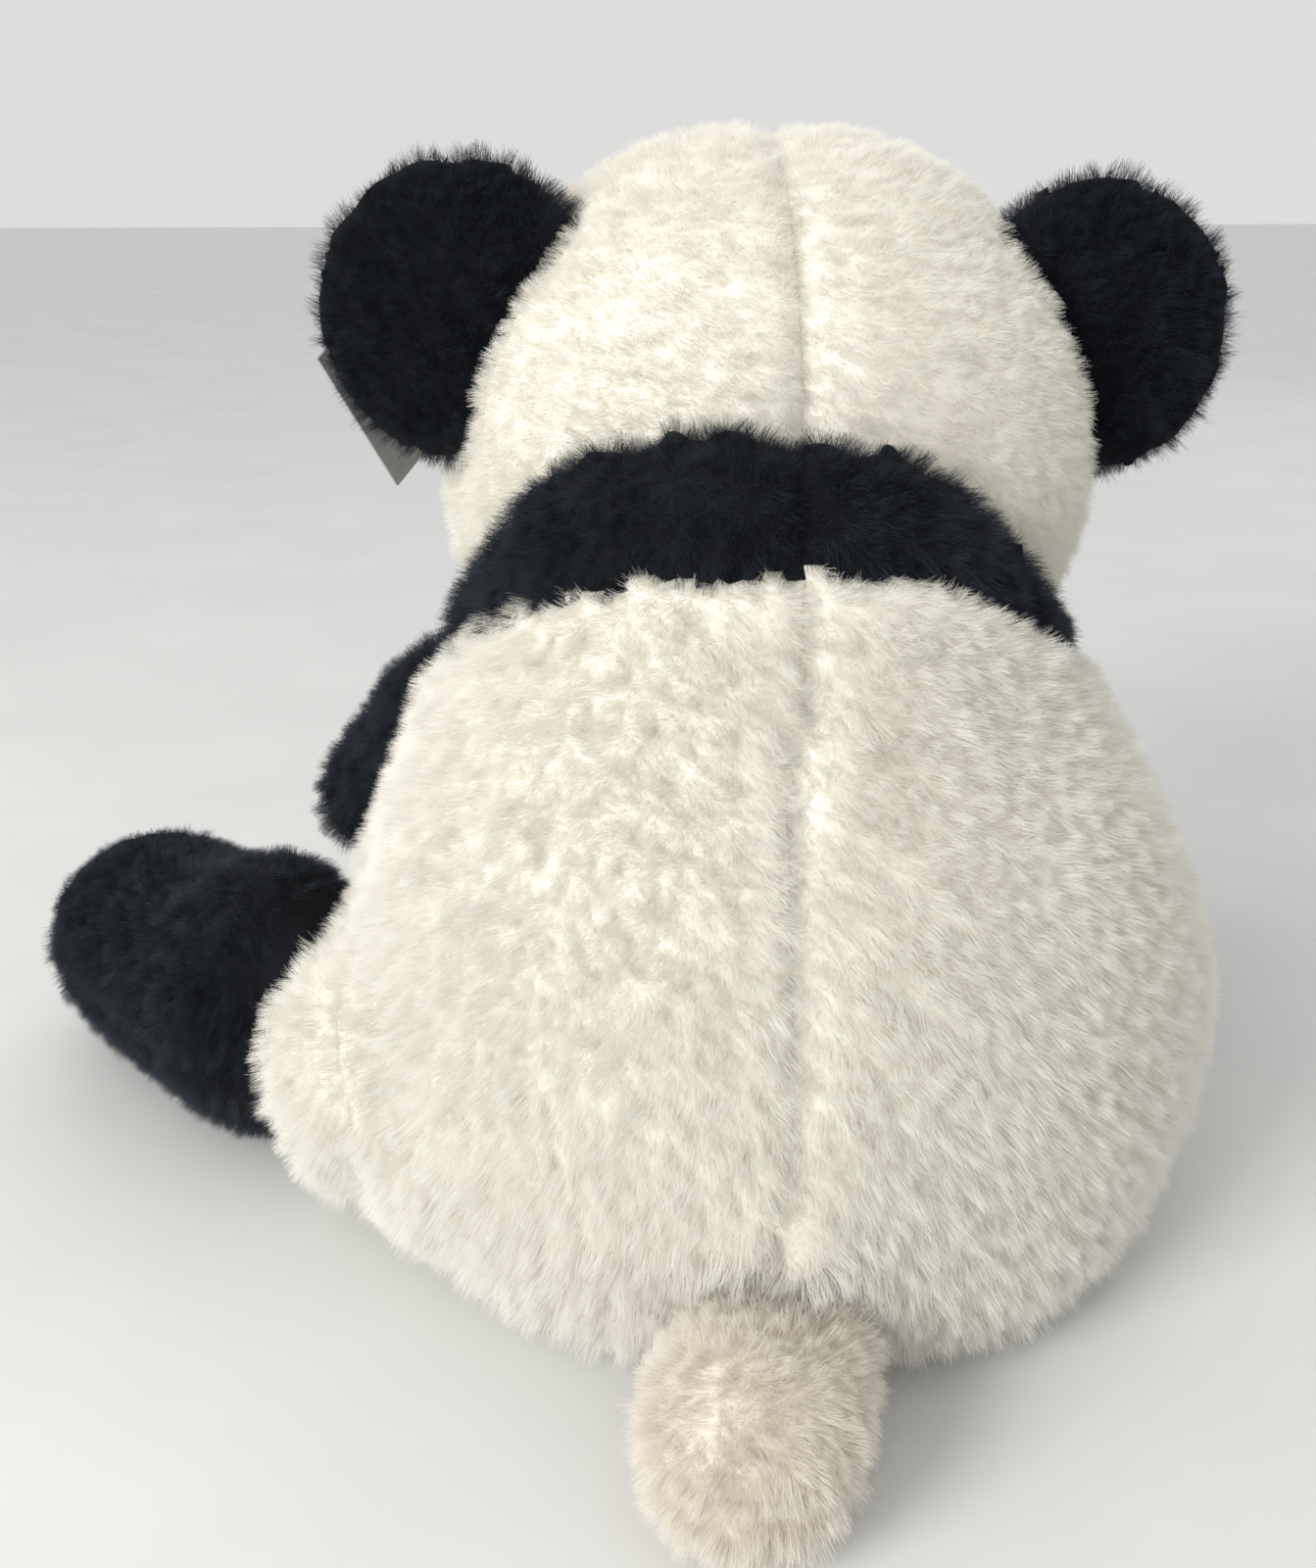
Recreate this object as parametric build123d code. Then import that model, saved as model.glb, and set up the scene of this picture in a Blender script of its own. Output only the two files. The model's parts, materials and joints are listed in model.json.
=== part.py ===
from build123d import *
import os
from math import cos, radians, sin

# A seated plush panda, about 27 cm tall.
# Millimetres. +Z is up, the panda faces -Y, and its own left is +X.
# The origin lies on the flat seat that the toy rests on.

# ---------------------------------------------------------------- driving dimensions
PILE_SKIN = 9.0          # plush fabric with its pile, the thickness of every panel
RUN_GAP = 0.5            # clearance between a limb's root and its socket
BIG = 700.0              # edge of the blocks that stand for half spaces

TORSO_FOOT = (0, 6, 0)   # where the torso's axis meets the table
TORSO_OUTLINE = [        # radius and height
    (92, -20), (104, 0), (111, 22), (113, 50), (109, 85), (99, 120),
    (85, 150), (75, 175), (67, 193), (57, 207), (42, 216), (0, 223),
]
BELLY_C = (0, 118, 70)   # centre of the ball that flattens the belly
BELLY_R = 198.0
YOKE_EDGE = (0, 0, 147)  # the black shoulder band starts above this point
YOKE_TILT = 28.5         # degrees that the band's lower edge rises towards the back
SIDE_SEAM_Y = -36.0      # side seams of the torso

HAUNCH_R = 40.0
LEG_R = 34.0
LEG_REACH = 94.0        # from the hip's centre to the flat of the foot
LEG_AXIS_Z = 34.6
HIP_PROUD = 13.0         # the hip's centre stands this far outside the haunch
HIP_BACK = {"left": 11.0, "right": 0.0}   # and this far behind its line
HAUNCHES = {"left": (99, 21), "right": (-86, -8)}
SPLAY = {"left": 38.0, "right": -18.0}   # degrees from straight ahead
SOLE_ROUND = 13.0

SHOULDERS = {"left": (82, -34, 124), "right": (-76, -36, 123)}
PAWS = {"left": (110, -72, 80), "right": (-93, -103, 109)}
ARM_ROOM = 1.5           # clearance of the hollow in the side that the arm rests in
ARM_SWEEP_R = 75.0       # how far from the shoulder that hollow follows the rising arm
ARM_R = 21.0

TAIL_ROOT = (10, 122, 22.5)
TAIL_AIM = (0.34, 0.94, 0.0)
TAIL_R = 22.0
TAIL_REACH = 46.0

HEAD_C = (-3, -32, 196)
HEAD_ROUND = 76.5              # half the head's height and depth
HEAD_SPREAD = 7.5              # what half its width is more than that
COLLAR_R = 85.0                # hollow that the head turns and nods in
NECK_R = 26.0
NECK_FOOT_Z = 92.0
HEAD_SIDE_SEAM = -8.0          # from the head's centre, along Y

EAR_SEAMS = {                  # top and low end of each ear's base seam, X and Z from the head's centre
    "left": ((53, 61), (83, 1)),
    "right": ((-57, 58), (-86, -6)),
}
EAR_BACK = 18.0                # the ears stand this far behind the head's middle
EAR_OUT = 0.0                  # the seam's line stands this far outside that chord
EAR_HALF_THICK = 12.5
EAR_ROLL_R = 10.5              # the round roll along the base seam
EAR_R = 42.0
EAR_CENTRE_OUT = 11.0
EAR_ROOT_HALF = 32.0
EAR_SKIN = 8.0
EAR_DIP = 6.0                  # how far the folding blade dips below its seam
EAR_SWAY = 4.5                 # room on each side of the blade in its pocket

MUZZLE_C = (0, -70, -20)       # from the head's centre
MUZZLE_R = 29.0
NOSE_C = (0, -95.5, -8)
NOSE_R = 8.0
EYE_AIM = (0.40, -0.90, 0.16)
EYE_R = 7.5
PATCH_R = 18.0
WASHER_R = 8.0
WASHER_T = 1.6
STEM_R = 2.0
STEM_LONG = 14.0
THREAD_R = 0.9

TAG_SIZE = (31.0, 45.0)
TAG_THICK = 0.6
TAG_TURN = 49.0                # degrees between the card and the ear's face
TAG_HOLE_R = 2.2
TAG_HOLE_IN = 5.5              # from the hanging corner to the hole's centre
TAG_HOLE = (98, -47, 232)
LOOP_R = 15.0
LOOP_TURN = 45.0               # degrees the loop turns back behind the card
LOOP_WIRE_R = 0.7
LOOP_RISE = 40.0               # degrees the loop climbs from the card to the ear

BAG_R = 52.0
BAG_HIGH = 30.0
BAG_SKIN = 1.5


# ---------------------------------------------------------------- helpers
def lens(radius, half_thick):
    """Two shallow domes back to back in the XY plane."""
    dome_r = (radius ** 2 + half_thick ** 2) / (2 * half_thick)
    drop = dome_r - half_thick
    return Pos(0, 0, -drop) * Sphere(dome_r) & Pos(0, 0, drop) * Sphere(dome_r)


def half_space(point, normal):
    """A large block on the side of a plane that its normal points to."""
    plane = Plane(origin=Vector(*point), z_dir=Vector(*normal))
    return plane * (Pos(0, 0, BIG / 2) * Box(BIG, BIG, BIG))


def inset_outline(points, inset):
    """The outline moved inwards, square to itself, by the inset."""
    moved = []
    last = len(points) - 1
    for i, (r, h) in enumerate(points):
        r0, h0 = points[max(i - 1, 0)]
        r1, h1 = points[min(i + 1, last)]
        along = Vector(r1 - r0, h1 - h0, 0).normalized()
        moved.append((max(r - along.Y * inset, 0), h + along.X * inset))
    moved[-1] = (0, points[-1][1] - inset)
    return moved


def spun(points):
    """A solid of revolution about Z from an outline that ends on the axis."""
    places = [Vector(r, 0, h) for r, h in points]
    curve = Spline(*places, tangents=[(places[1] - places[0]), Vector(-1, 0, 0)])
    foot = Vector(0, 0, places[0].Z)
    edge = Wire([curve, Line(places[-1], foot), Line(foot, places[0])])
    return revolve(Face(edge), Axis.Z)


def torso_form(inset):
    """The torso's pear shape, flat below and flatter in front."""
    pear = Pos(*TORSO_FOOT) * spun(inset_outline(TORSO_OUTLINE, inset))
    belly = Pos(*BELLY_C) * Sphere(BELLY_R - inset)
    return pear & belly & half_space((0, 0, max(inset, 0)), (0, 0, 1))


def largest(shape):
    """The main solid, without the slivers that a hollow leaves beside it."""
    return shape.solids().sort_by(SortBy.VOLUME)[-1]


def along_axis(start, aim):
    """The frame whose Z runs from start along aim, with X level."""
    z_dir = Vector(*aim).normalized()
    x_dir = Vector(0, 0, 1).cross(z_dir).normalized()
    return Plane(origin=Vector(*start), x_dir=x_dir, z_dir=z_dir)


def standing(radius, height):
    """A cylinder that rises from 0 along Z."""
    return Cylinder(radius, height, align=(Align.CENTER, Align.CENTER, Align.MIN))


def capsule(radius, reach):
    """A stuffed limb along Z with a round root at 0 and a round tip."""
    straight = reach - radius
    return standing(radius, straight) + Sphere(radius) + Pos(0, 0, straight) * Sphere(radius)


def halves(shell, frame, side):
    """Both sides of a shell about a plane through the frame's axis."""
    return shell & half_space(frame.origin, side), shell & half_space(frame.origin, -side)


# ---------------------------------------------------------------- legs
def leg_frame(which):
    """The leg's axis from the hip's centre towards the foot."""
    angle = radians(SPLAY[which])
    aim = Vector(sin(angle), -cos(angle), 0)
    x, y = HAUNCHES[which]
    back = Vector(cos(angle), sin(angle), 0) * HIP_BACK[which]
    hip = Vector(x, y, LEG_AXIS_Z) + aim * (HAUNCH_R + HIP_PROUD) + back
    return along_axis(hip, aim)


def leg_form(inset):
    """A leg along Z: round root, straight thigh and a flat, rounded foot."""
    r = LEG_R - inset
    thigh = standing(r, LEG_REACH - inset)
    sole_edge = thigh.edges().group_by(Axis.Z)[-1]
    return fillet(sole_edge, SOLE_ROUND - inset / 2) + Sphere(r)


def make_leg(which):
    frame = leg_frame(which)
    outer = frame * leg_form(0)
    inner = frame * leg_form(PILE_SKIN)
    sole_cut = half_space(frame.origin + frame.z_dir * (LEG_REACH - SOLE_ROUND), frame.z_dir)
    skin = outer - inner
    sole = skin & sole_cut
    sleeve = skin - sole_cut
    upper, under = halves(sleeve, frame, Vector(0, 0, 1))
    return {
        f"leg_{which}_upper": upper,
        f"leg_{which}_under": under,
        f"foot_{which}_sole": sole,
        f"leg_{which}_stuffing": inner,
    }


# ---------------------------------------------------------------- arms
def arm_frame(which):
    start = Vector(*SHOULDERS[which])
    return along_axis(start, Vector(*PAWS[which]) - start)


def arm_form(which, inset):
    span = (Vector(*PAWS[which]) - Vector(*SHOULDERS[which])).length
    return capsule(ARM_R - inset, span + ARM_R - inset)


def raise_axis(which):
    """The level axis that an arm lifts about, square to the arm."""
    aim = arm_frame(which).z_dir
    return Vector(aim.X, aim.Y, 0).normalized().cross(Vector(0, 0, 1))


def arm_sweep(which):
    """The slice of space in front of the shoulder that the rising arm needs."""
    frame = arm_frame(which)
    axis = raise_axis(which)
    ahead = Vector(0, 0, 1).cross(axis)
    above = axis.cross(frame.z_dir)
    fan = Cylinder(ARM_SWEEP_R, 2 * (ARM_R + ARM_ROOM))
    fan = Plane(origin=frame.origin, z_dir=axis) * fan
    return fan & half_space(frame.origin, ahead) & half_space(frame.origin, above)


def make_arm(which):
    frame = arm_frame(which)
    outer = frame * arm_form(which, 0)
    inner = frame * arm_form(which, PILE_SKIN)
    sign = 1 if which == "left" else -1
    outward = frame.z_dir.cross(Vector(0, 1, 0)).normalized()
    outward = outward if outward.X * sign > 0 else -outward
    front, back = halves(outer - inner, frame, outward)
    return {
        f"arm_{which}_outer": front,
        f"arm_{which}_inner": back,
        f"arm_{which}_stuffing": inner,
    }


# ---------------------------------------------------------------- tail
def tail_form(inset):
    return capsule(TAIL_R - inset, TAIL_REACH - inset)


def make_tail():
    frame = along_axis(TAIL_ROOT, TAIL_AIM)
    outer = frame * tail_form(0)
    inner = frame * tail_form(PILE_SKIN)
    upper, under = halves(outer - inner, frame, Vector(0, 0, 1))
    return {"tail_upper": upper, "tail_under": under, "tail_stuffing": inner}


# ---------------------------------------------------------------- torso
def collar():
    return Pos(*HEAD_C) * Sphere(COLLAR_R)


def sockets():
    """Every hollow that a limb or the head turns in."""
    hollows = [collar()]
    for which in ("left", "right"):
        hollows.append(Pos(*leg_frame(which).origin) * Sphere(LEG_R + RUN_GAP))
        hollows.append(arm_frame(which) * arm_form(which, -ARM_ROOM) + arm_sweep(which))
    hollows.append(Pos(*TAIL_ROOT) * Sphere(TAIL_R + 2 * RUN_GAP))
    return hollows


def neck_hole():
    hole = standing(NECK_R + RUN_GAP, HEAD_C[2] - NECK_FOOT_Z)
    return Pos(HEAD_C[0], HEAD_C[1], NECK_FOOT_Z - RUN_GAP) * hole


def make_pellet_bag():
    base = (TORSO_FOOT[0], TORSO_FOOT[1], PILE_SKIN)
    bag = Pos(*base) * standing(BAG_R, BAG_HIGH)
    fill = standing(BAG_R - BAG_SKIN, BAG_HIGH - 2 * BAG_SKIN)
    fill = Pos(base[0], base[1], base[2] + BAG_SKIN) * fill
    return bag, {"pellet_bag": bag - fill, "pellets": fill}


def make_haunch(which, torso, hollows):
    x, y = HAUNCHES[which]
    centre = (x, y, HAUNCH_R)
    ball = Pos(*centre) * Sphere(HAUNCH_R)
    core = Pos(*centre) * Sphere(HAUNCH_R - PILE_SKIN)
    skin = ball - [torso, core, *hollows]
    fill = core - [torso, *hollows]
    return {f"haunch_{which}": skin, f"haunch_{which}_stuffing": fill}


def make_torso():
    torso = torso_form(0)
    hollows = sockets()
    bag, parts = make_pellet_bag()
    core = torso_form(PILE_SKIN)
    seat = torso & Pos(0, 0, PILE_SKIN / 2) * Box(BIG, BIG, PILE_SKIN)
    above_seat = half_space((0, 0, PILE_SKIN), (0, 0, 1))
    skin = (torso & above_seat) - core
    fill = core - [bag, neck_hole(), *hollows]
    skin = skin - hollows
    seat = seat - hollows
    tilt = radians(YOKE_TILT)
    band = half_space(YOKE_EDGE, (0, -sin(tilt), cos(tilt)))
    rear = half_space((0, SIDE_SEAM_Y, 0), (0, 1, 0))
    left = half_space((0, 0, 0), (1, 0, 0))
    yoke = skin & band
    lower = skin - band
    parts["yoke_back_left"] = yoke & rear & left
    parts["yoke_back_right"] = (yoke & rear) - left
    parts["yoke_chest"] = largest(yoke - rear)
    parts["back_left"] = lower & rear & left
    parts["back_right"] = (lower & rear) - left
    parts["belly"] = lower - rear
    parts["seat_base"] = seat
    parts["torso_stuffing"] = fill
    for which in ("left", "right"):
        parts.update(make_haunch(which, torso, hollows))
    return parts


def make_neck():
    plug = standing(NECK_R, HEAD_C[2] - NECK_FOOT_Z)
    plug = Pos(HEAD_C[0], HEAD_C[1], NECK_FOOT_Z) * plug
    return {"neck_plug": plug - collar()}


# ---------------------------------------------------------------- ears
def ear_frame(which):
    """X points away from the head, Y along the base seam, Z to the back."""
    sign = 1 if which == "left" else -1
    top, low = [Vector(x, 0, z) for x, z in EAR_SEAMS[which]]
    along = (top - low).normalized()
    out = Vector(sign * along.Z, 0, -sign * along.X)
    middle = (top + low) * 0.5 + out * EAR_OUT + Vector(*head_place((0, EAR_BACK, 0)))
    return Plane(origin=middle, x_dir=out, z_dir=out.cross(along))


def ear_form(inset):
    """A puffy half oval on a round roll along the base seam."""
    blade = Pos(EAR_CENTRE_OUT, 0, 0) * lens(EAR_R - inset, EAR_HALF_THICK - inset)
    blade = blade & half_space((0, 0, 0), (1, 0, 0))
    roll = Rot(90, 0, 0) * Cylinder(EAR_ROLL_R - inset, 2 * (EAR_ROOT_HALF - inset))
    return blade + roll


def ear_pocket():
    """The groove in the head, wide enough for the ear to fold both ways."""
    length = 2 * (EAR_ROOT_HALF + 1.0)
    roll = Rot(90, 0, 0) * Cylinder(EAR_ROLL_R + RUN_GAP, length)
    wide = 2 * (EAR_HALF_THICK + EAR_SWAY)
    mouth = Pos(BIG / 2 - EAR_DIP, 0, 0) * Box(BIG, 2 * EAR_R + 2, wide)
    return roll + mouth


def make_ear(which, loop):
    frame = ear_frame(which)
    outer = frame * ear_form(0)
    inner = frame * ear_form(EAR_SKIN)
    skin = outer - inner
    to_back = half_space(frame.origin, (0, 1, 0))
    front = skin - to_back
    if loop:
        front = front - loop
        inner = inner - loop
    return {
        f"ear_{which}_back": skin & to_back,
        f"ear_{which}_front": front,
        f"ear_{which}_batting": inner,
    }


# ---------------------------------------------------------------- swing tag
def tag_directions():
    """The card's level direction, towards the ear, and its normal."""
    turn = radians(TAG_TURN)
    return Vector(cos(turn), sin(turn), 0), Vector(sin(turn), -cos(turn), 0)


def make_tag():
    level, normal = tag_directions()
    wide, tall = TAG_SIZE
    diagonal = (wide ** 2 + tall ** 2) ** 0.5
    to_side = Vector(wide / diagonal, -tall / diagonal, 0)
    to_left = level * (tall / diagonal) + Vector(0, 0, -wide / diagonal)
    corner = Vector(*TAG_HOLE) + Vector(0, 0, TAG_HOLE_IN)
    face = Plane(origin=corner, x_dir=to_left, z_dir=normal)
    down = -1 if face.y_dir.Z > 0 else 1
    card = face * (Pos(wide / 2, down * tall / 2, 0) * Box(wide, tall, TAG_THICK))
    hole = Plane(origin=Vector(*TAG_HOLE), z_dir=normal) * Cylinder(TAG_HOLE_R, 4 * TAG_THICK)
    return {"hang_tag": card - hole}


def make_loop():
    """A closed filament ring through the card's hole and the ear's front."""
    level, normal = tag_directions()
    rise = radians(LOOP_RISE)
    reach = level * cos(rise) + Vector(0, 0, sin(rise))
    turn = radians(LOOP_TURN)
    centre = Vector(*TAG_HOLE) + (reach * cos(turn) - normal * sin(turn)) * LOOP_R
    ring = Plane(origin=centre, x_dir=reach, z_dir=normal.cross(reach))
    return ring * Torus(LOOP_R, LOOP_WIRE_R)


# ---------------------------------------------------------------- head
def head_form(inset):
    """Two equal balls side by side, joined by a drum."""
    radius = HEAD_ROUND - inset
    drum = Cylinder(radius, 2 * HEAD_SPREAD)
    balls = [Pos(0, 0, sign * HEAD_SPREAD) * Sphere(radius) for sign in (1, -1)]
    return Pos(*HEAD_C) * Rot(0, 90, 0) * (drum + balls)


def on_head(aim):
    """The point of the head's skin that a direction from one ball's middle meets."""
    return Vector(*head_place((HEAD_SPREAD * (1 if aim.X > 0 else -1), 0, 0))) + aim * HEAD_ROUND


def head_place(offset):
    return tuple(c + o for c, o in zip(HEAD_C, offset))


def make_eye(sign):
    aim = Vector(sign * EYE_AIM[0], EYE_AIM[1], EYE_AIM[2]).normalized()
    seat = Plane(origin=on_head(aim), x_dir=Vector(0, 0, 1).cross(aim).normalized(), z_dir=aim)
    stem_place = Pos(0, 0, -STEM_LONG / 2)
    eye = seat * (Sphere(EYE_R) + stem_place * Cylinder(STEM_R, STEM_LONG))
    washer_z = -PILE_SKIN - WASHER_T
    washer = seat * (Pos(0, 0, washer_z) * (Cylinder(WASHER_R, WASHER_T) - Cylinder(STEM_R, 4 * WASHER_T)))
    return eye, washer, seat * Cylinder(PATCH_R, 60)


def make_nose():
    centre = Vector(*head_place(NOSE_C))
    back = Vector(0, 1, 0)
    button = Pos(*centre) * Sphere(NOSE_R)
    stem_mid = centre + back * (STEM_LONG / 2)
    stem = Plane(origin=stem_mid, z_dir=back) * Cylinder(STEM_R, STEM_LONG)
    washer_at = centre + back * (PILE_SKIN + 2)
    disc = Cylinder(WASHER_R, WASHER_T) - Cylinder(STEM_R, 4 * WASHER_T)
    return button + stem, Plane(origin=washer_at, z_dir=back) * disc


def make_mouth():
    """Two short stitched arcs under the nose."""
    centre = Vector(*head_place(MUZZLE_C))
    arcs = []
    for sign in (1, -1):
        middle = centre + Vector(sign * 7.5, -MUZZLE_R + 3.2, -6)
        ring = Torus(7.5, THREAD_R) & half_space((0, 0, 0), (0, -1, 0))
        arcs.append(Plane(origin=middle, x_dir=Vector(1, 0, 0), z_dir=Vector(0, -0.92, -0.38)) * ring)
    return arcs[0] + arcs[1]


def make_head():
    outer = head_form(0)
    inner = head_form(PILE_SKIN)
    pockets = [ear_frame(which) * ear_pocket() for which in ("left", "right")]
    skin = outer - [inner, *pockets]
    inner = inner - pockets
    seam = head_place((0, HEAD_SIDE_SEAM, 0))
    rear = half_space(seam, (0, 1, 0))
    left = half_space(HEAD_C, (1, 0, 0))
    nose, nose_washer = make_nose()
    mouth = make_mouth()
    muzzle = Pos(*head_place(MUZZLE_C)) * Sphere(MUZZLE_R)
    muzzle = muzzle - [outer, nose, nose_washer, mouth]
    face_left = (skin - rear) & left
    face_right = (skin - rear) - left
    parts = {
        "head_back_left": skin & rear & left,
        "head_back_right": (skin & rear) - left,
        "muzzle": muzzle,
        "nose": nose,
        "nose_washer": nose_washer,
        "mouth_stitching": mouth,
    }
    faces = {"left": face_left, "right": face_right}
    for which, sign in (("left", 1), ("right", -1)):
        eye, washer, oval = make_eye(sign)
        parts[f"eye_{which}"] = eye
        parts[f"eye_washer_{which}"] = washer
        parts[f"eye_patch_{which}"] = (faces[which] & oval) - eye
        parts[f"face_{which}"] = faces[which] - oval
        inner = inner - eye - washer
    parts["head_stuffing"] = inner
    return parts


# ---------------------------------------------------------------- write every node
def main():
    os.makedirs("parts", exist_ok=True)
    loop = make_loop()
    parts = make_torso()
    parts.update(make_neck())
    parts.update(make_head())
    parts.update(make_ear("left", loop))
    parts.update(make_ear("right", None))
    parts.update(make_tag())
    parts["tag_loop"] = loop
    for which in ("left", "right"):
        parts.update(make_arm(which))
        parts.update(make_leg(which))
    parts.update(make_tail())
    for name, shape in parts.items():
        export_step(shape, f"parts/{name}.step")
    print(len(parts), "nodes")


main()
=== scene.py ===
import json
import math

import bmesh
import bpy
import numpy as np
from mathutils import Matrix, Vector, noise
from mathutils.bvhtree import BVHTree
from mathutils.kdtree import KDTree


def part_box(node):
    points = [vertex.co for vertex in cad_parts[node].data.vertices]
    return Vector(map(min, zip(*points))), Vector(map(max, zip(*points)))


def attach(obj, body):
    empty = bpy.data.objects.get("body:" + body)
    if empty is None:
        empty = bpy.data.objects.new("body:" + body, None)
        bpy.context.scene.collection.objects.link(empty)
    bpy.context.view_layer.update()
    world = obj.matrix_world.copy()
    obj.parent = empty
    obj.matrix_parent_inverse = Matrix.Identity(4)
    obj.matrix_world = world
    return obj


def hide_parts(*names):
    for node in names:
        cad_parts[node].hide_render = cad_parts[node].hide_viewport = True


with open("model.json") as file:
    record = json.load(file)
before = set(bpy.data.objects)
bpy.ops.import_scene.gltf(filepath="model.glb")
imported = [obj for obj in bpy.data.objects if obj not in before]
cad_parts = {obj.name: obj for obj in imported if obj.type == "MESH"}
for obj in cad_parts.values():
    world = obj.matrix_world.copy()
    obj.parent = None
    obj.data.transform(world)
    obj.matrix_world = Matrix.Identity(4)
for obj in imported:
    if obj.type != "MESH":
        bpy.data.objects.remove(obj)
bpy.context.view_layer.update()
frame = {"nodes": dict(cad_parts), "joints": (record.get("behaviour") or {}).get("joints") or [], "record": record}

SCENE = bpy.context.scene
NODES = frame["nodes"]
BODIES = frame["record"]["behaviour"]["bodies"]
MM = 0.001

# ---------------------------------------------------------------- camera, lights, floor
VIEW_AZIMUTH = 172.0           # from behind, a little from the panda's left
VIEW_PITCH = 22.0              # looking down
VIEW_YAW = 4.0                 # turned off the line to the origin
VIEW_REACH = 400 * MM          # along the floor, from the origin
VIEW_HEIGHT = 270 * MM
LENS_WIDTH = 36.0

# ---------------------------------------------------------------- skins and pile
CLOTH_VOXEL = 5.0 * MM         # grid of the skin before it is subdivided
CLOTH_FRAMES = 20
CLOTH_PRESSURE = 4.0
SKIN_THICK = 2.0 * MM          # the knitted backing under the pile
SKIN_LIFT = 0.3 * MM           # the lowest skin's height over the table
SEAM_PASSES = 8                # rounds of smoothing along the seams
SEAM_HAIR = 4 * MM             # within about this distance of a seam the hair is shorter
SEAM_TRIM = 0.3                # by this share
BARE_GAP = 2.0 * MM            # no pile where another body is nearer than this
BULGE_SPAN = 34 * MM           # width of the filling's soft lumps
TUFT_SPAN = 5.5 * MM           # width of the pile's tufts
CHILDREN = 28                  # hairs that follow each guide hair
HAIR_RADIUS = 0.075 * MM

# ---------------------------------------------------------------- face
PATCH_HALF = (17 * MM, 22 * MM)   # the eye patch's half width and half height
PATCH_TILT = 28.0                 # degrees that its lower end swings outward
PATCH_DROP = 3 * MM               # its middle sits this far below the eye
THREAD = 0.8 * MM
THREAD_PROUD = 2.4 * MM           # over the knitted backing, level with the short pile


def make_camera():
    azimuth, pitch = math.radians(VIEW_AZIMUTH), math.radians(VIEW_PITCH)
    heading = azimuth + math.radians(VIEW_YAW)
    aim = Vector((-math.sin(heading) * math.cos(pitch), math.cos(heading) * math.cos(pitch),
                  -math.sin(pitch)))
    data = bpy.data.cameras.new("camera")
    data.sensor_width = LENS_WIDTH
    data.lens = LENS_WIDTH
    camera = bpy.data.objects.new("camera", data)
    camera.location = (math.sin(azimuth) * VIEW_REACH, -math.cos(azimuth) * VIEW_REACH, VIEW_HEIGHT)
    camera.rotation_euler = aim.to_track_quat("-Z", "Y").to_euler()
    SCENE.collection.objects.link(camera)
    SCENE.camera = camera


def make_light(name, place, aim, size, power, tint):
    data = bpy.data.lights.new(name, "AREA")
    data.size = size
    data.energy = power
    data.color = tint
    light = bpy.data.objects.new(name, data)
    light.location = place
    light.rotation_euler = (Vector(aim) - Vector(place)).to_track_quat("-Z", "Y").to_euler()
    SCENE.collection.objects.link(light)


def make_studio():
    SCENE.view_settings.view_transform = "Standard"
    world = bpy.data.worlds.new("studio")
    world.use_nodes = True
    sky = world.node_tree.nodes["Background"]
    sky.inputs["Color"].default_value = (0.86, 0.86, 0.85, 1)
    sky.inputs["Strength"].default_value = 0.84
    SCENE.world = world
    middle = (0, 0, 0.10)
    make_light("key", (1.05, 0.95, 0.80), middle, 0.6, 18.5, (1.0, 0.995, 0.965))
    make_light("fill", (-1.0, -0.9, 0.9), middle, 1.2, 1.5, (1.0, 0.98, 0.99))
    floor = bpy.data.meshes.new("floor")
    reach = 6.0
    floor.from_pydata([(-reach, -reach, 0), (reach, -reach, 0), (reach, reach, 0), (-reach, reach, 0)],
                      [], [(0, 1, 2, 3)])
    table = bpy.data.objects.new("floor", floor)
    SCENE.collection.objects.link(table)
    floor.materials.append(plain("floor", (0.76, 0.765, 0.755), 0.55))


# ---------------------------------------------------------------- materials
def shader(name):
    material = bpy.data.materials.new(name)
    material.use_nodes = True
    return material, material.node_tree.nodes, material.node_tree.links


def plain(name, colour, roughness):
    """A surface with a faint mottle."""
    material, nodes, links = shader(name)
    principled = nodes["Principled BSDF"]
    principled.inputs["Roughness"].default_value = roughness
    mottle(nodes, links, principled.inputs["Base Color"], colour,
           [c * 0.96 for c in colour], 12.0)
    return material


def mottle(nodes, links, socket, light, dark, scale, detail=3.0):
    """Feeds a noise between two colours, in the object's own coordinates, into a socket."""
    place = nodes.new("ShaderNodeTexCoord")
    cloud = nodes.new("ShaderNodeTexNoise")
    cloud.inputs["Scale"].default_value = scale
    cloud.inputs["Detail"].default_value = detail
    ramp = nodes.new("ShaderNodeValToRGB")
    ramp.color_ramp.elements[0].position = 0.35
    ramp.color_ramp.elements[0].color = (*dark, 1)
    ramp.color_ramp.elements[1].position = 0.65
    ramp.color_ramp.elements[1].color = (*light, 1)
    links.new(place.outputs["Object"], cloud.inputs["Vector"])
    links.new(cloud.outputs["Fac"], ramp.inputs["Fac"])
    links.new(ramp.outputs["Color"], socket)


def add_bump(nodes, links, principled, scale, strength, distance):
    place = nodes.new("ShaderNodeTexCoord")
    grain = nodes.new("ShaderNodeTexNoise")
    grain.inputs["Scale"].default_value = scale
    grain.inputs["Detail"].default_value = 4.0
    bump = nodes.new("ShaderNodeBump")
    bump.inputs["Strength"].default_value = strength
    bump.inputs["Distance"].default_value = distance
    links.new(place.outputs["Object"], grain.inputs["Vector"])
    links.new(grain.outputs["Fac"], bump.inputs["Height"])
    links.new(bump.outputs["Normal"], principled.inputs["Normal"])


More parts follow.
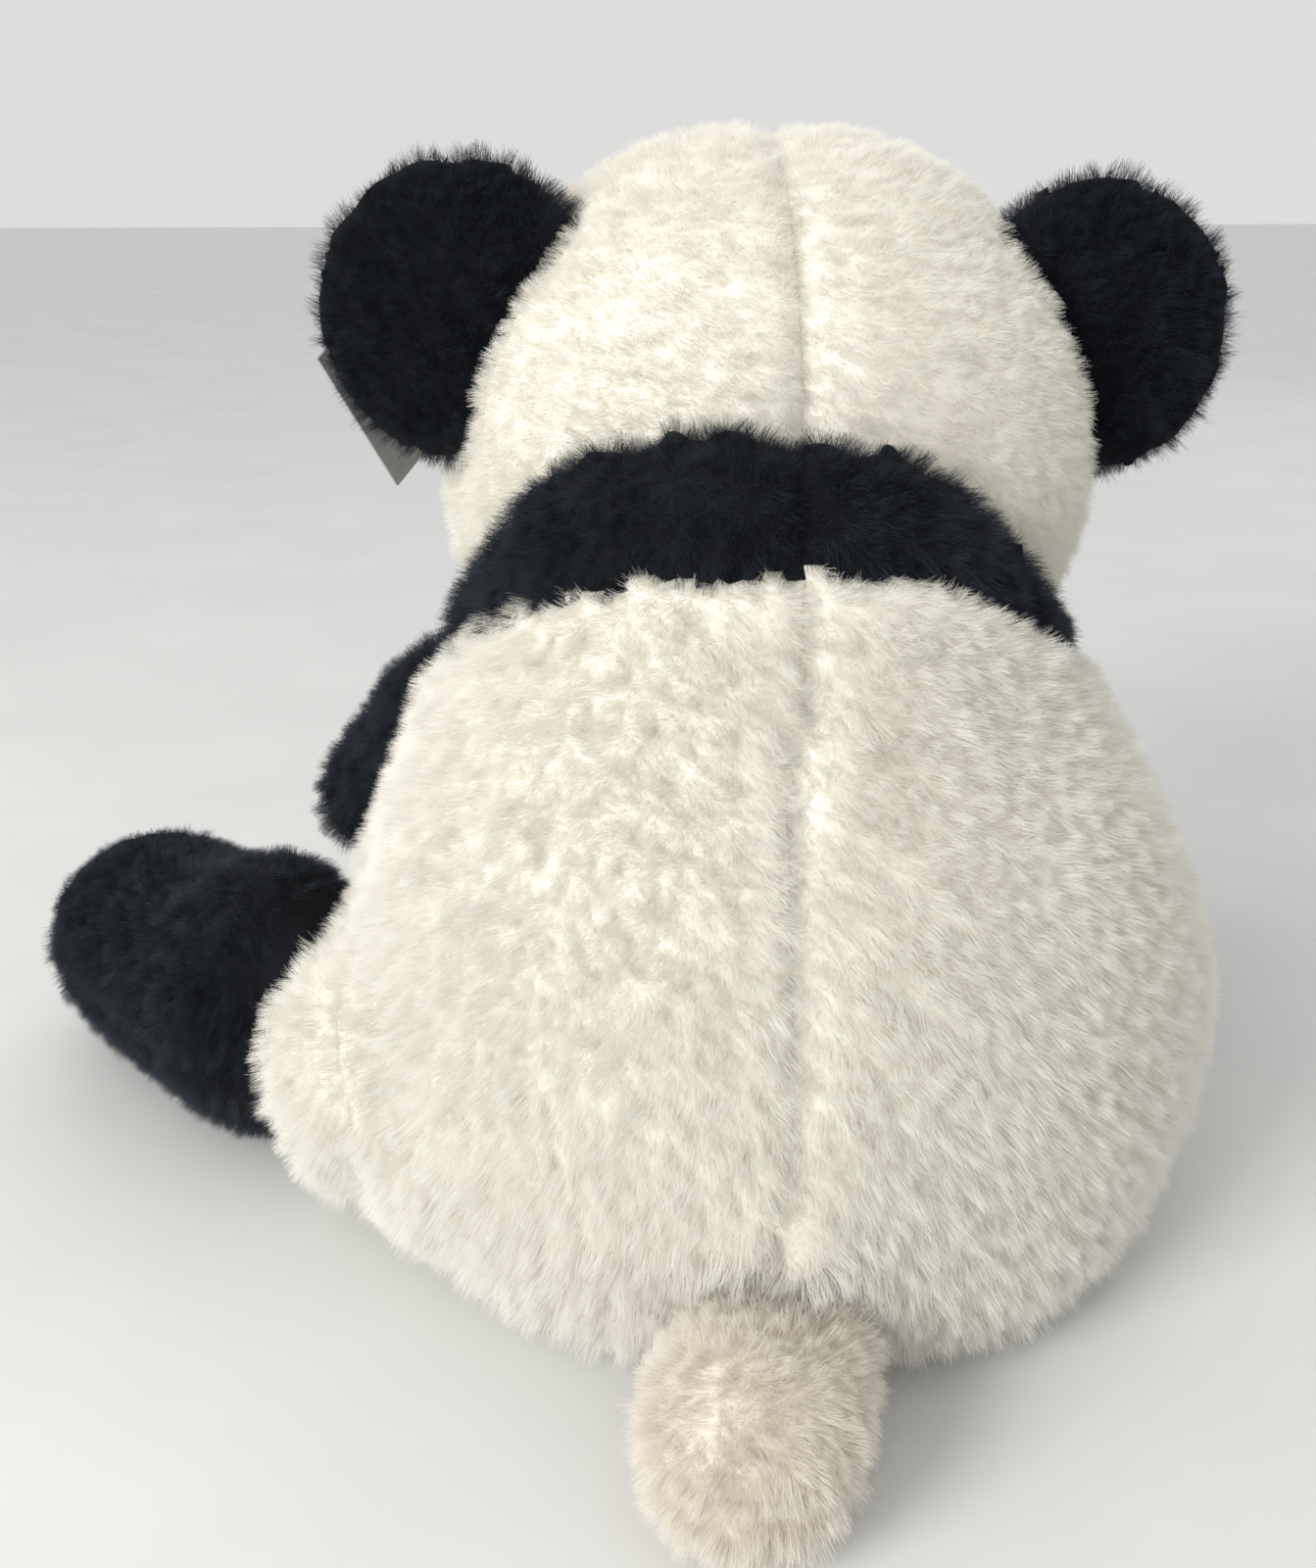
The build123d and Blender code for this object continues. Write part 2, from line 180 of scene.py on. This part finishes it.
def backing(name, light, dark, sheen):
    """The pile seen as a whole: what lies under the single hairs."""
    material, nodes, links = shader(name)
    principled = nodes["Principled BSDF"]
    principled.inputs["Roughness"].default_value = 0.95
    principled.inputs["Specular IOR Level"].default_value = 0.1
    principled.inputs["Sheen Weight"].default_value = sheen
    mottle(nodes, links, principled.inputs["Base Color"], light, dark, 60.0)
    add_bump(nodes, links, principled, 900.0, 0.6, 0.6 * MM)
    return material


def pile(name, root, tip, vary, gloss, sheen):
    """Single hairs: darker at the root, each a little different."""
    material, nodes, links = shader(name)
    principled = nodes["Principled BSDF"]
    principled.inputs["Roughness"].default_value = 0.65
    principled.inputs["Specular IOR Level"].default_value = gloss
    principled.inputs["Sheen Weight"].default_value = sheen
    hair = nodes.new("ShaderNodeHairInfo")
    along = nodes.new("ShaderNodeValToRGB")
    along.color_ramp.elements[0].color = (*root, 1)
    along.color_ramp.elements[1].color = (*tip, 1)
    along.color_ramp.elements[1].position = 0.7
    shift = nodes.new("ShaderNodeMix")
    shift.data_type = "RGBA"
    shift.blend_type = "MULTIPLY"
    shift.inputs["Factor"].default_value = 1.0
    spread = nodes.new("ShaderNodeValToRGB")
    spread.color_ramp.elements[0].color = (*vary, 1)
    spread.color_ramp.elements[1].color = (1, 1, 1, 1)
    links.new(hair.outputs["Intercept"], along.inputs["Fac"])
    links.new(hair.outputs["Random"], spread.inputs["Fac"])
    links.new(along.outputs["Color"], shift.inputs["A"])
    links.new(spread.outputs["Color"], shift.inputs["B"])
    links.new(shift.outputs["Result"], principled.inputs["Base Color"])
    return material


FUR = {
    "white_plush": (
        backing("white_backing", (0.91, 0.885, 0.82), (0.86, 0.83, 0.75), 0.15),
        pile("white_pile", (0.91, 0.88, 0.80), (0.95, 0.935, 0.885), (0.95, 0.94, 0.925), 0.2, 0.1),
    ),
    "black_plush": (
        backing("black_backing", (0.010, 0.012, 0.016), (0.006, 0.007, 0.009), 0.05),
        pile("black_pile", (0.006, 0.007, 0.010), (0.024, 0.034, 0.050), (0.35, 0.40, 0.5), 0.5, 0.0),
    ),
    "tail_plush": (
        backing("tail_backing", (0.84, 0.79, 0.70), (0.76, 0.70, 0.61), 0.15),
        pile("tail_pile", (0.80, 0.74, 0.65), (0.93, 0.89, 0.82), (0.92, 0.90, 0.87), 0.2, 0.1),
    ),
}


def trim_materials():
    """The finish of what isn't fur, by material slot."""
    made = {}
    for slot, colour, roughness, grain in (
        ("eye_plastic", (0.006, 0.004, 0.003), 0.10, 0.0),
        ("nose_plastic", (0.010, 0.010, 0.011), 0.32, 0.15),
        ("washer_plastic", (0.70, 0.70, 0.66), 0.45, 0.1),
        ("embroidery_thread", (0.012, 0.012, 0.014), 0.55, 0.5),
        ("tag_card", (0.36, 0.37, 0.38), 0.75, 0.1),
        ("tag_filament", (0.75, 0.75, 0.72), 0.25, 0.05),
        ("pellet_bag_cloth", (0.72, 0.71, 0.68), 0.85, 0.5),
        ("plastic_pellets", (0.80, 0.80, 0.78), 0.35, 0.8),
        ("polyester_stuffing", (0.86, 0.86, 0.84), 0.95, 0.9),
    ):
        material, nodes, links = shader(slot)
        principled = nodes["Principled BSDF"]
        principled.inputs["Roughness"].default_value = roughness
        mottle(nodes, links, principled.inputs["Base Color"], colour,
               [c * 0.85 for c in colour], 150.0)
        add_bump(nodes, links, principled, 700.0, grain, 0.5 * MM)
        made[slot] = material
    made["eye_plastic"].node_tree.nodes["Principled BSDF"].inputs["Specular IOR Level"].default_value = 0.4
    return made


TRIM = trim_materials()


# ---------------------------------------------------------------- mesh helpers
def new_object(name, mesh):
    obj = bpy.data.objects.new(name, mesh)
    SCENE.collection.objects.link(obj)
    return obj


def evaluated_mesh(obj):
    """A new mesh of the object with its modifiers applied."""
    depsgraph = bpy.context.evaluated_depsgraph_get()
    return bpy.data.meshes.new_from_object(obj.evaluated_get(depsgraph), preserve_all_data_layers=True,
                                           depsgraph=depsgraph)


def modified(mesh, kind, **settings):
    """The mesh after one modifier."""
    obj = new_object("work", mesh)
    modifier = obj.modifiers.new(kind, kind)
    for key, value in settings.items():
        setattr(modifier, key, value)
    result = evaluated_mesh(obj)
    bpy.data.objects.remove(obj)
    return result


def smooth_shaded(mesh):
    for face in mesh.polygons:
        face.use_smooth = True


def points(mesh):
    flat = np.empty(len(mesh.vertices) * 3)
    mesh.vertices.foreach_get("co", flat)
    return flat.reshape(-1, 3)


def set_points(mesh, places):
    mesh.vertices.foreach_set("co", places.ravel())
    mesh.update()


def normals(mesh):
    flat = np.empty(len(mesh.vertices) * 3)
    mesh.vertex_normals.foreach_get("vector", flat)
    return flat.reshape(-1, 3)


def joined(names, balls=()):
    """One mesh of several CAD nodes, and of balls given as a centre and a radius in millimetres."""
    together = bmesh.new()
    for name in names:
        together.from_mesh(NODES[name].data)
    for centre, radius in balls:
        made = bmesh.ops.create_icosphere(together, subdivisions=4, radius=radius * MM)
        bmesh.ops.translate(together, verts=made["verts"], vec=Vector(centre) * MM)
    mesh = bpy.data.meshes.new("joined")
    together.to_mesh(mesh)
    together.free()
    return mesh


def remeshed(mesh, voxel, smooth):
    """One closed even skin around everything in the mesh."""
    even = modified(mesh, "REMESH", mode="VOXEL", voxel_size=voxel)
    return modified(even, "SMOOTH", factor=0.5, iterations=smooth)


def inflated(mesh, cap):
    """The skin swollen by cloth pressure, no point moving further than cap."""
    obj = new_object("cloth", mesh)
    cloth = obj.modifiers.new("Cloth", "CLOTH")
    cloth.settings.quality = 4
    cloth.settings.use_pressure = True
    cloth.settings.uniform_pressure_force = CLOTH_PRESSURE
    cloth.settings.effector_weights.gravity = 0
    cloth.collision_settings.use_collision = False
    cloth.point_cache.frame_end = CLOTH_FRAMES
    for step in range(1, CLOTH_FRAMES + 1):
        SCENE.frame_set(step)
    swollen = evaluated_mesh(obj)
    SCENE.frame_set(1)
    bpy.data.objects.remove(obj)
    start = points(mesh)
    moved = points(swollen) - start
    far = np.linalg.norm(moved, axis=1, keepdims=True)
    set_points(swollen, start + moved * np.minimum(1, cap / np.maximum(far, 1e-9)))
    return swollen


def surface_tree(mesh):
    """The mesh's surface, for finding the nearest point on it."""
    surface = bmesh.new()
    surface.from_mesh(mesh)
    tree = BVHTree.FromBMesh(surface)
    surface.free()
    return tree


SURFACES = {name: surface_tree(node.data) for name, node in NODES.items()}


def nearest_node(mesh, names, drift, override):
    """For each face, which CAD node's surface is nearest, once the face is moved by its drift."""
    trees = [SURFACES[name] for name in names]
    chosen = []
    for face in mesh.polygons:
        place = face.center + drift(face.center)
        gaps = [tree.find_nearest(place)[3] for tree in trees]
        nearest = names[int(np.argmin(gaps))]
        chosen.append(names.index(override(face.center, nearest)))
    return np.array(chosen, np.int32)


def edge_panels(mesh):
    """The ends of each edge, and the lowest and highest panel number beside it."""
    ends = np.empty(len(mesh.edges) * 2, np.int32)
    mesh.edges.foreach_get("vertices", ends)
    loop_edges = np.empty(len(mesh.loops), np.int32)
    mesh.loops.foreach_get("edge_index", loop_edges)
    sizes = np.empty(len(mesh.polygons), np.int32)
    mesh.polygons.foreach_get("loop_total", sizes)
    panels = np.empty(len(mesh.polygons), np.int32)
    mesh.polygons.foreach_get("material_index", panels)
    loop_panels = np.repeat(panels, sizes)
    low = np.full(len(mesh.edges), 999, np.int32)
    high = np.full(len(mesh.edges), -1, np.int32)
    np.minimum.at(low, loop_edges, loop_panels)
    np.maximum.at(high, loop_edges, loop_panels)
    return ends.reshape(-1, 2), low, high


def straighten_seams(mesh, passes):
    """Smooths the stair steps that the voxels leave along the panels' edges."""
    ends, low, high = edge_panels(mesh)
    seam = ends[low != high]
    count = np.bincount(seam.ravel(), minlength=len(mesh.vertices))
    free = count == 2
    places = points(mesh)
    for _ in range(passes):
        total = np.zeros_like(places)
        np.add.at(total, seam[:, 0], places[seam[:, 1]])
        np.add.at(total, seam[:, 1], places[seam[:, 0]])
        middle = total[free] / count[free][:, None]
        places[free] = 0.5 * places[free] + 0.5 * middle
    set_points(mesh, places)


def seam_distance(mesh, names, depths):
    """Each vertex's distance to the nearest seam, and that seam's depth."""
    ends, low, high = edge_panels(mesh)
    tree = KDTree(len(mesh.vertices))
    places = points(mesh)
    depth_at = {}
    for (a, b), first, second in zip(ends, low, high):
        if first != second:
            pair = frozenset((names[first], names[second]))
            depth_at[a] = depth_at[b] = depths.get(pair, depths["other"])
    for index in depth_at:
        tree.insert(places[index], index)
    tree.balance()
    if not depth_at:
        return np.full(len(places), 1.0), np.zeros(len(places))
    found = [tree.find(place) for place in places]
    gap = np.array([hit[2] for hit in found])
    depth = np.array([depth_at[hit[1]] for hit in found])
    return gap, depth


def lumps(places, size, squeeze, seed):
    """Soft noise from -1 to 1, longer along Z by the squeeze."""
    scale = np.array((1, 1, squeeze)) / size
    shifted = places * scale + seed
    return np.array([noise.noise(Vector(place)) for place in shifted])


# ---------------------------------------------------------------- fur pieces
def grow_pile(piece, fur, length, density, flow, tuft, seed):
    """Hair over a panel: guide hairs with clumped children."""
    area = sum(face.area for face in piece.data.polygons)
    piece.data.materials.append(FUR[fur][1])
    system = piece.modifiers.new("pile", "PARTICLE_SYSTEM").particle_system
    system.seed = seed
    settings = system.settings
    settings.type = "HAIR"
    settings.count = max(20, int(area / MM ** 2 * density))
    settings.hair_step = 3
    settings.use_advanced_hair = True
    settings.hair_length = length
    settings.normal_factor = length / 4 * 0.72
    settings.object_align_factor = [length / 4 * part for part in flow]
    settings.factor_random = length / 4 * 0.3
    settings.length_random = 0.35
    settings.use_even_distribution = True
    settings.emit_from = "FACE"
    settings.render_step = 3
    settings.display_step = 2
    settings.material = 2
    settings.child_type = "INTERPOLATED"
    settings.rendered_child_count = CHILDREN
    settings.child_length = 1.0
    settings.child_size_random = 0.0
    settings.clump_factor = tuft
    settings.clump_shape = 0.15
    settings.roughness_1 = 0.0
    settings.roughness_2 = 1.2 * MM
    settings.roughness_2_size = 1.0
    settings.roughness_endpoint = 1.6 * MM
    settings.radius_scale = HAIR_RADIUS
    settings.root_radius = 1.0
    settings.tip_radius = 0.35
    for group, use in (("bare", "vertex_group_density"), ("short", "vertex_group_length")):
        if group in piece.vertex_groups:
            setattr(system, use, group)


def split_panel(mesh, number, name):
    """A new object of one panel's faces, with the per-point weights."""
    part = bmesh.new()
    part.from_mesh(mesh)
    away = [face for face in part.faces if face.material_index != number]
    bmesh.ops.delete(part, geom=away, context="FACES")
    for face in part.faces:
        face.material_index = 0
        face.smooth = True
    panel = bpy.data.meshes.new(name)
    part.to_mesh(panel)
    part.free()
    piece = new_object(name, panel)
    for group in ("cover", "length"):
        layer = panel.attributes[group]
        weights = np.empty(len(panel.vertices), np.float32)
        layer.data.foreach_get("value", weights)
        target = piece.vertex_groups.new(name={"cover": "bare", "length": "short"}[group])
        for index, weight in enumerate(weights):
            target.add((index,), float(weight), "REPLACE")
    for group in ("cover", "length"):
        panel.attributes.remove(panel.attributes[group])
    return piece


def cover_weights(mesh, body, reach):
    """1 where pile can grow, 0 where another body lies against the skin."""
    weights = np.ones(len(mesh.vertices), np.float32)
    skins = ("head_back", "face", "muzzle", "leg", "arm", "tail", "ear", "back", "belly", "yoke", "haunch",
             "seat")
    others = [name for other, members in BODIES.items() if other != body for name in members
              if name.startswith(skins)]
    trees = [SURFACES[name] for name in others]
    for index, vertex in enumerate(mesh.vertices):
        for tree in trees:
            if tree.find_nearest(vertex.co, reach)[0] is not None:
                weights[index] = 0
                break
    return weights


def add_attribute(mesh, name, values):
    layer = mesh.attributes.get(name) or mesh.attributes.new(name, "FLOAT", "POINT")
    layer.data.foreach_set("value", np.asarray(values, np.float32))


def tucked(places, tuck):
    """Draws the outer skin in where it meets the table, by tuck at the very bottom."""
    if not tuck:
        return places
    seat_reach, tuck_rise = 50 * MM, 1.6 * tuck
    middle = places.mean(axis=0)
    arm = places - middle
    arm[:, 2] = 0
    reach = np.maximum(np.linalg.norm(arm, axis=1), 1e-6)
    low = np.clip(1 - places[:, 2] / tuck_rise, 0, 1) ** 2
    return places - arm * (tuck * low / reach)[:, None] * (reach > seat_reach)[:, None]


def no_drift(place):
    return Vector((0, 0, 0))


def no_override(place, panel):
    return panel


def fur_body(body, panels, filling, furs, depths, length, swells=(), cap=4.0 * MM, shrink=2.0 * MM,
             flow=(0, 0, -0.25), lump=1.2 * MM, clump=1.1 * MM, density=0.14, tuft=0.4, seed=1, levels=2,
             voxel=CLOTH_VOXEL, balls=(), smooth=3, drift=no_drift, override=no_override, tuck=0.0):
    """The whole plush skin of one body, cut into its sewn panels.

    A swell is a place, a reach and a shift in millimetres: a number along the normal, or a vector.
    """
    mesh = remeshed(joined([*panels, *filling], balls), voxel, smooth)
    mesh.polygons.foreach_set("material_index", nearest_node(mesh, panels, drift, override))
    add_attribute(mesh, "cover", cover_weights(mesh, body, BARE_GAP))
    set_points(mesh, points(mesh) - normals(mesh) * shrink)
    mesh = inflated(mesh, cap)
    straighten_seams(mesh, SEAM_PASSES)
    mesh = modified(mesh, "SUBSURF", levels=levels, render_levels=levels)
    places = points(mesh)
    outward = normals(mesh)
    for centre, reach, amount in swells:
        near = np.linalg.norm(places - np.array(centre) * MM, axis=1)
        way = outward * amount if np.isscalar(amount) else np.array(amount)
        places += way * (MM * np.exp(-(near / (reach * MM)) ** 2))[:, None]
    gap, depth = seam_distance(mesh, panels, depths)
    crease = depth * np.exp(-(gap / (1.6 * depth + 1e-6)) ** 2)
    uneven = lump * lumps(places, BULGE_SPAN, 0.8, seed)
    uneven += clump * lumps(places, TUFT_SPAN, 0.4, seed + 9)
    floor_clear = np.clip(places[:, 2] / (6 * MM), 0, 1)
    places = tucked(places, tuck)
    places += outward * (uneven * floor_clear - crease)[:, None]
    places[:, 2] = np.maximum(places[:, 2], SKIN_LIFT)
    set_points(mesh, places)
    add_attribute(mesh, "length", 1 - SEAM_TRIM * np.exp(-(gap / SEAM_HAIR) ** 2))
    pieces = []
    for number, name in enumerate(panels):
        piece = split_panel(mesh, number, "fur_" + name)
        fur = furs if isinstance(furs, str) else furs[name]
        piece.data.materials.append(FUR[fur][0])
        span = length if isinstance(length, float) else length[name]
        grow_pile(piece, fur, span, density, flow, tuft, seed * 40 + number)
        thicken = piece.modifiers.new("backing", "SOLIDIFY")
        thicken.thickness = SKIN_THICK
        thicken.offset = -1
        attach(piece, body)
        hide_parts(name)
        pieces.append(piece)
    return pieces


def back_seam_drift(place):
    """The centre back seam wanders to the panda's left towards the tail."""
    drop = max(0.0, 175 * MM - place.z)
    return Vector((-4 * MM - 0.045 * drop, 0, 0)) if place.y > 0 else Vector((0, 0, 0))


def make_torso():
    panels = ["yoke_back_left", "yoke_back_right", "yoke_chest", "back_left", "back_right", "belly",
              "haunch_left", "haunch_right", "seat_base"]
    furs = {name: "black_plush" if name.startswith("yoke") else "white_plush" for name in panels}
    depths = {
        frozenset(("back_left", "back_right")): 2.4 * MM,
        frozenset(("back_left", "haunch_left")): 0.6 * MM,
        frozenset(("back_right", "haunch_right")): 0.6 * MM,
        frozenset(("yoke_back_left", "yoke_back_right")): 1.5 * MM,
        "other": 1.8 * MM,
    }
    filling = ["torso_stuffing", "haunch_left_stuffing", "haunch_right_stuffing"]
    length = {name: 8.0 * MM if name.startswith("yoke") else 10.0 * MM for name in panels}
    length["seat_base"] = 2.0 * MM
    right_shoulder = [((-64, 33, 186), 38, (1, -2, -15)), ((-88, 20, 155), 30, (6, 0, -2)),
                      ((-104, 20, 120), 34, (7, 0, 0))]
    right_haunch = [((-105, 10, 62), 42, 6)]
    left_side = [((98, 10, 105), 38, -5), ((132, 30, 40), 28, -4)]
    neck = [((16, 52, 208), 30, 3)]
    over_tail = [((9, 114, 50), 14, (0, 3, -5))]
    over_thigh = [((114, -16, 74), 20, (4, -3, 10))]
    swells = right_haunch + left_side + neck + right_shoulder + over_tail + over_thigh
    haunch_fill = [((80, 47, 32), 31), ((80, 30, 46), 29), ((-72, 20, 34), 32)]
    tail_fill = [((9, 112, 50), 12)]
    fur_body("torso", panels, filling, furs, depths, length, swells, shrink=0.5 * MM, cap=3.0 * MM,
             clump=0.8 * MM, tuft=0.3, voxel=4.6 * MM, balls=haunch_fill + tail_fill, smooth=8,
             drift=back_seam_drift, tuck=7 * MM, seed=1)


def centre_of(node):
    low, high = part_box(node)
    return (low + high) / 2


def eye_patch_panel(place, panel):
    """Slanted oval patches about the eyes, in place of the CAD's round ones."""
    side = "left" if place.x > centre_of_head.x else "right"
    sign = 1 if side == "left" else -1
    eye = eye_places[side]
    offset = place - eye
    if offset.length > 2 * PATCH_HALF[1]:
        return panel
    across = Vector((0.91, 0.41 * sign, 0)).normalized()
    u, v = offset.dot(across) * sign, offset.z + PATCH_DROP
    tilt = math.radians(PATCH_TILT)
    wide = u * math.cos(tilt) + v * math.sin(tilt)
    high = -u * math.sin(tilt) + v * math.cos(tilt)
    if (wide / PATCH_HALF[0]) ** 2 + (high / PATCH_HALF[1]) ** 2 < 1:
        return "eye_patch_" + side
    return panel if not panel.startswith("eye") else "face_" + side


centre_of_head = centre_of("head_stuffing")
eye_places = {side: centre_of("eye_" + side) for side in ("left", "right")}


def make_nose():
    """A moulded nose, broad and round above and narrowing below."""
    low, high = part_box("nose")
    radius = (high.x - low.x) / 2
    widen, flatten = 1.75, 0.95
    centre = Vector(((low.x + high.x) / 2, low.y + radius, (low.z + high.z) / 2))
    shape = bmesh.new()
    bmesh.ops.create_uvsphere(shape, u_segments=48, v_segments=32, radius=1.0)
    for vert in shape.verts:
        x, y, z = vert.co
        taper = 0.72 + 0.40 * z if z < 0.3 else 0.84 - 0.1 * (z - 0.3)
        dip = 0.14 * math.exp(-((abs(x) - 0.42) / 0.16) ** 2 - ((z + 0.25) / 0.2) ** 2) if y < 0 else 0
        groove = 0.08 * math.exp(-(x / 0.09) ** 2) if y < 0 and z < 0.2 else 0
        vert.co = Vector((x * taper * widen, y * (1 - dip - groove) * flatten, z * flatten))
        vert.co = vert.co * radius + centre
    mesh = bpy.data.meshes.new("nose_button")
    shape.to_mesh(mesh)
    shape.free()
    smooth_shaded(mesh)
    nose = new_object("nose_button", mesh)
    mesh.materials.append(TRIM["nose_plastic"])
    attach(nose, "head")
    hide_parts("nose")
    return centre


def make_mouth(nose, skins):
    """Stitched line down from the nose and a short smile to each side, lying on the muzzle's pile."""
    muzzle = next(piece for piece in skins if piece.name == "fur_muzzle")
    surface = surface_tree(muzzle.data)
    drop, reach, rise = 15 * MM, 13 * MM, 4 * MM
    lines = [[(0, -t * drop) for t in np.linspace(0.35, 1, 8)]]
    for sign in (1, -1):
        turn = np.linspace(0, math.pi / 2 * 1.15, 12)
        lines.append([(sign * reach * math.sin(a), -drop - rise * math.sin(2 * a) + rise * a * 0.9)
                      for a in turn])
    curve = bpy.data.curves.new("mouth_thread", "CURVE")
    curve.dimensions = "3D"
    curve.bevel_depth = THREAD
    curve.bevel_resolution = 3
    curve.use_fill_caps = True
    for line in lines:
        spline = curve.splines.new("POLY")
        spline.points.add(len(line) - 1)
        for point, (x, z) in zip(spline.points, line):
            start = nose + Vector((x, -20 * MM, z))
            place, normal, _, _ = surface.ray_cast(start, Vector((0, 1, 0)))
            point.co = (*(place + normal * THREAD_PROUD), 1)
    thread = new_object("mouth_thread", curve)
    mesh = evaluated_mesh(thread)
    bpy.data.objects.remove(thread)
    thread = new_object("mouth_thread", mesh)
    smooth_shaded(mesh)
    mesh.materials.clear()
    mesh.materials.append(TRIM["embroidery_thread"])
    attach(thread, "head")
    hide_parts("mouth_stitching")


def make_head():
    panels = ["head_back_left", "head_back_right", "face_left", "face_right", "muzzle", "eye_patch_left",
              "eye_patch_right"]
    furs = {name: "black_plush" if name.startswith("eye") else "white_plush" for name in panels}
    depths = {
        frozenset(("head_back_left", "head_back_right")): 2.6 * MM,
        "other": 1.5 * MM,
    }
    length = {name: 6.0 * MM for name in panels}
    length["muzzle"] = 3.5 * MM
    length["eye_patch_left"] = length["eye_patch_right"] = 4.0 * MM
    skins = fur_body("head", panels, ["head_stuffing"], furs, depths, length, shrink=-1.5 * MM,
                     cap=2.0 * MM, flow=(0, 0.1, -0.2), clump=0.7 * MM, tuft=0.35, seed=2,
                     voxel=4.0 * MM, override=eye_patch_panel)
    make_mouth(make_nose(), skins)


def thigh_swells(side):
    """The thigh is plumper on top, next to the haunch."""
    hip = next(joint for joint in frame["joints"] if joint["name"] == f"leg_{side}_lift")["pos_m"]
    foot = centre_of(f"foot_{side}_sole")
    aim = (foot - Vector(hip)).normalized()
    root = (Vector(hip) - aim * 13 * MM) / MM
    toes = (Vector(hip) + aim * 75 * MM) / MM
    return [((root.x, root.y, 62), 32, (0, 0, 20)), ((toes.x, toes.y, 66), 24, -4)]


def make_limbs():
    for side in ("left", "right"):
        fur_body(f"ear_{side}", [f"ear_{side}_back", f"ear_{side}_front"], [f"ear_{side}_batting"],
                 "black_plush", {"other": 1.2 * MM}, 8.0 * MM, shrink=1.0 * MM, flow=(0, 0, 0.05),
                 clump=1.0 * MM, tuft=0.45, voxel=4.0 * MM, seed=3)
        fur_body(f"arm_{side}", [f"arm_{side}_outer", f"arm_{side}_inner"], [f"arm_{side}_stuffing"],
                 "black_plush", {"other": 1.2 * MM}, 7.0 * MM, seed=4)
        panels = [f"leg_{side}_upper", f"leg_{side}_under", f"foot_{side}_sole"]
        length = dict(zip(panels, (8.0 * MM, 6.0 * MM, 4.0 * MM)))
        fur_body(f"leg_{side}", panels, [f"leg_{side}_stuffing"], "black_plush", {"other": 1.5 * MM},
                 length, swells=thigh_swells(side), shrink=1.0 * MM, seed=5)
    tail_swells = [((25, 152, 22), 24, 2.0), ((8, 119, 42), 20, (0, 2, -9))]
    fur_body("tail", ["tail_upper", "tail_under"], ["tail_stuffing"], "tail_plush", {"other": 1.0 * MM},
             8.0 * MM, swells=tail_swells, shrink=1.0 * MM, flow=(0.1, 0.2, -0.1), voxel=4.0 * MM, seed=6)


# ---------------------------------------------------------------- what lies inside
def make_stuffing():
    """Each filling is a puffed closed pad just inside its skin."""
    for body, members in BODIES.items():
        for name in members:
            if not name.endswith(("stuffing", "batting", "plug")):
                continue
            mesh = remeshed(joined([name]), 6.0 * MM, 4)
            places = points(mesh)
            inset = 2.5 * MM + 0.8 * MM * lumps(places, 20 * MM, 1.0, 5)
            set_points(mesh, places - normals(mesh) * inset[:, None])
            smooth_shaded(mesh)
            pad = new_object("wadding_" + name, mesh)
            mesh.materials.append(TRIM["polyester_stuffing"])
            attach(pad, body)
            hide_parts(name)


def finish_cad_nodes():
    """The CAD's own small parts keep their shape and take a finished material."""
    for row in frame["record"]["subparts"]:
        if row["material_slot"] in TRIM:
            data = NODES[row["node"]].data
            data.materials.clear()
            data.materials.append(TRIM[row["material_slot"]])


make_camera()
make_studio()
make_torso()
make_head()
make_limbs()
make_stuffing()
finish_cad_nodes()
